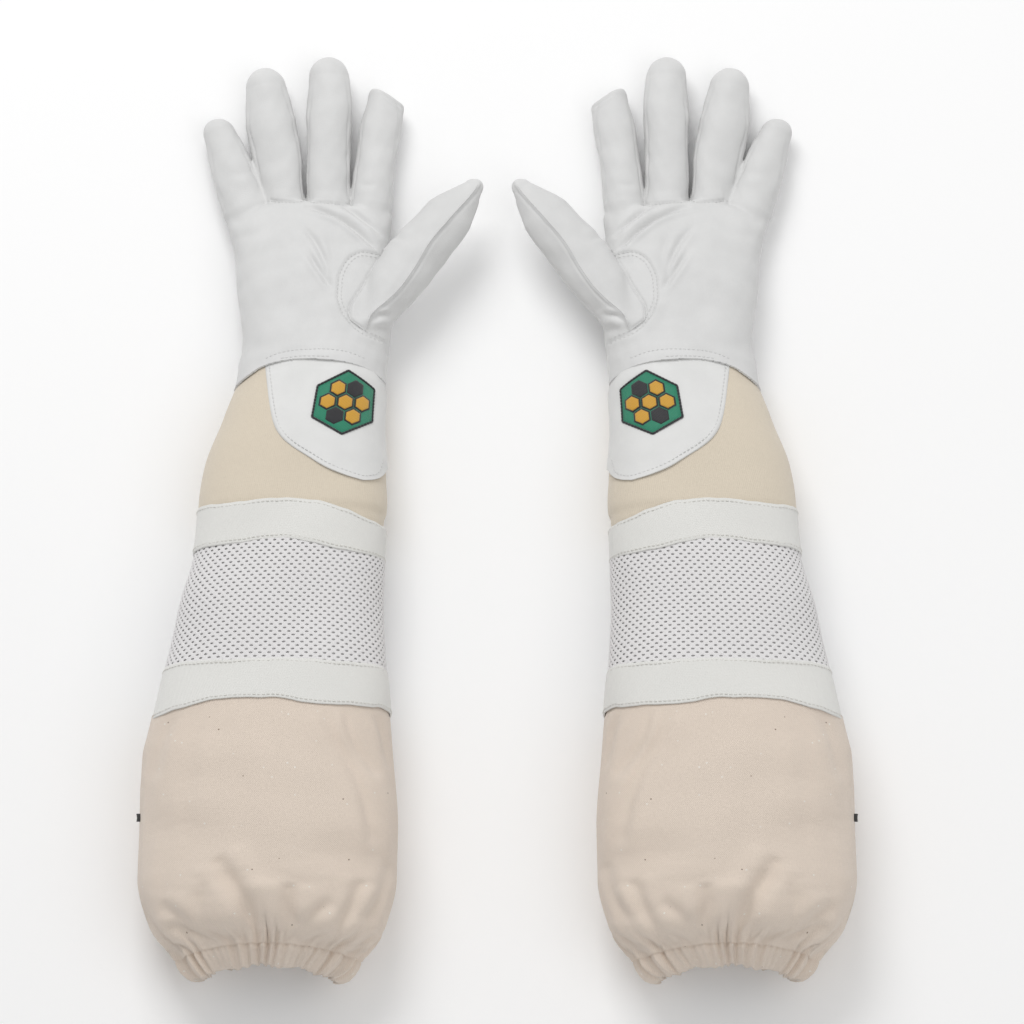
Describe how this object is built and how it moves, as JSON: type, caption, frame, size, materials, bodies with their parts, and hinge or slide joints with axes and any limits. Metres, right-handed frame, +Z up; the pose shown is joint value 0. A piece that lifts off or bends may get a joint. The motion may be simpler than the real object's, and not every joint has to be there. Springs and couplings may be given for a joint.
{
  "type": "beekeeping gloves",
  "caption": "Pair of long beekeeping gloves: goatskin hands, twill cuffs, ventilated mesh bands and canvas gauntlets with elastic hems, lying palm up.",
  "frame": {"origin": "under the middle of the pair, on the surface that the gloves lie on", "axes": "+X across the pair from the right-hand glove to the left-hand one, +Y from the hems to the fingertips, +Z up through the palms"},
  "size_m": [0.431, 0.572, 0.086],
  "materials": {
    "goatskin": "soft matte grain",
    "patch_leather": "smooth matte",
    "twill": "brushed cotton twill",
    "tape": "woven cotton tape",
    "mesh": "knitted polyester mesh",
    "mesh_core": "open spacer mesh",
    "canvas": "unbleached canvas",
    "elastic": "braided elastic",
    "embroidery": "satin stitch",
    "label": "woven tab"
  },
  "bodies": {
    "right_sleeve": {"right_gauntlet": "canvas", "right_hem_casing": "canvas", "right_elastic": "elastic", "right_lower_band": "tape", "right_mesh_face": "mesh", "right_mesh_core": "mesh_core", "right_upper_band": "tape", "right_cuff": "twill", "right_cuff_patch": "patch_leather", "right_badge": "embroidery", "right_side_label": "label"},
    "right_hand": {"right_palm_panel": "goatskin", "right_back_panel": "goatskin", "right_thumb_gusset": "goatskin"},
    "right_index": {"right_index_front": "goatskin", "right_index_back": "goatskin", "right_index_fourchettes": "goatskin"},
    "right_middle": {"right_middle_front": "goatskin", "right_middle_back": "goatskin", "right_middle_fourchettes": "goatskin"},
    "right_ring": {"right_ring_front": "goatskin", "right_ring_back": "goatskin", "right_ring_fourchettes": "goatskin"},
    "right_little": {"right_little_front": "goatskin", "right_little_back": "goatskin", "right_little_fourchettes": "goatskin"},
    "right_thumb": {"right_thumb_front": "goatskin", "right_thumb_back": "goatskin"},
    "left_sleeve": {"left_gauntlet": "canvas", "left_hem_casing": "canvas", "left_elastic": "elastic", "left_lower_band": "tape", "left_mesh_face": "mesh", "left_mesh_core": "mesh_core", "left_upper_band": "tape", "left_cuff": "twill", "left_cuff_patch": "patch_leather", "left_badge": "embroidery", "left_side_label": "label"},
    "left_hand": {"left_palm_panel": "goatskin", "left_back_panel": "goatskin", "left_thumb_gusset": "goatskin"},
    "left_index": {"left_index_front": "goatskin", "left_index_back": "goatskin", "left_index_fourchettes": "goatskin"},
    "left_middle": {"left_middle_front": "goatskin", "left_middle_back": "goatskin", "left_middle_fourchettes": "goatskin"},
    "left_ring": {"left_ring_front": "goatskin", "left_ring_back": "goatskin", "left_ring_fourchettes": "goatskin"},
    "left_little": {"left_little_front": "goatskin", "left_little_back": "goatskin", "left_little_fourchettes": "goatskin"},
    "left_thumb": {"left_thumb_front": "goatskin", "left_thumb_back": "goatskin"}
  },
  "joints": [
    {"name": "right_wrist_fold", "type": "hinge", "parent": "right_sleeve", "child": "right_hand", "pos_m": [-0.1113, 0.0903, 0.0483], "axis": [1, 0, 0], "range_deg": [0, 35]},
    {"name": "right_index_bend", "type": "hinge", "parent": "right_hand", "child": "right_index", "pos_m": [-0.07576, 0.1968, 0.0262], "axis": [0.9919, -0.1271, 0], "range_deg": [0, 60]},
    {"name": "right_middle_bend", "type": "hinge", "parent": "right_hand", "child": "right_middle", "pos_m": [-0.1023, 0.1983, 0.0262], "axis": [1, 0, 0], "range_deg": [0, 60]},
    {"name": "right_ring_bend", "type": "hinge", "parent": "right_hand", "child": "right_ring", "pos_m": [-0.12834, 0.1988, 0.0262], "axis": [0.9895, 0.1444, 0], "range_deg": [0, 60]},
    {"name": "right_little_bend", "type": "hinge", "parent": "right_hand", "child": "right_little", "pos_m": [-0.15259, 0.19429, 0.0262], "axis": [0.9511, 0.309, 0], "range_deg": [0, 60]},
    {"name": "right_thumb_fold", "type": "hinge", "parent": "right_hand", "child": "right_thumb", "pos_m": [-0.0885, 0.1203, 0.0435], "axis": [-0.4088, -0.9126, 0], "range_deg": [0, 40]},
    {"name": "left_wrist_fold", "type": "hinge", "parent": "left_sleeve", "child": "left_hand", "pos_m": [0.1113, 0.0903, 0.0483], "axis": [1, 0, 0], "range_deg": [0, 35]},
    {"name": "left_index_bend", "type": "hinge", "parent": "left_hand", "child": "left_index", "pos_m": [0.07576, 0.1968, 0.0262], "axis": [0.9919, 0.1271, 0], "range_deg": [0, 60]},
    {"name": "left_middle_bend", "type": "hinge", "parent": "left_hand", "child": "left_middle", "pos_m": [0.1023, 0.1983, 0.0262], "axis": [1, 0, 0], "range_deg": [0, 60]},
    {"name": "left_ring_bend", "type": "hinge", "parent": "left_hand", "child": "left_ring", "pos_m": [0.12834, 0.1988, 0.0262], "axis": [0.9895, -0.1444, 0], "range_deg": [0, 60]},
    {"name": "left_little_bend", "type": "hinge", "parent": "left_hand", "child": "left_little", "pos_m": [0.15259, 0.19429, 0.0262], "axis": [0.9511, -0.309, 0], "range_deg": [0, 60]},
    {"name": "left_thumb_fold", "type": "hinge", "parent": "left_hand", "child": "left_thumb", "pos_m": [0.0885, 0.1203, 0.0435], "axis": [-0.4088, 0.9126, 0], "range_deg": [0, 40]},
    {"name": "pair_spread", "type": "slide", "parent": "right_sleeve", "child": "left_sleeve", "axis": [1, 0, 0], "range_m": [0, 0.08]}
  ]
}
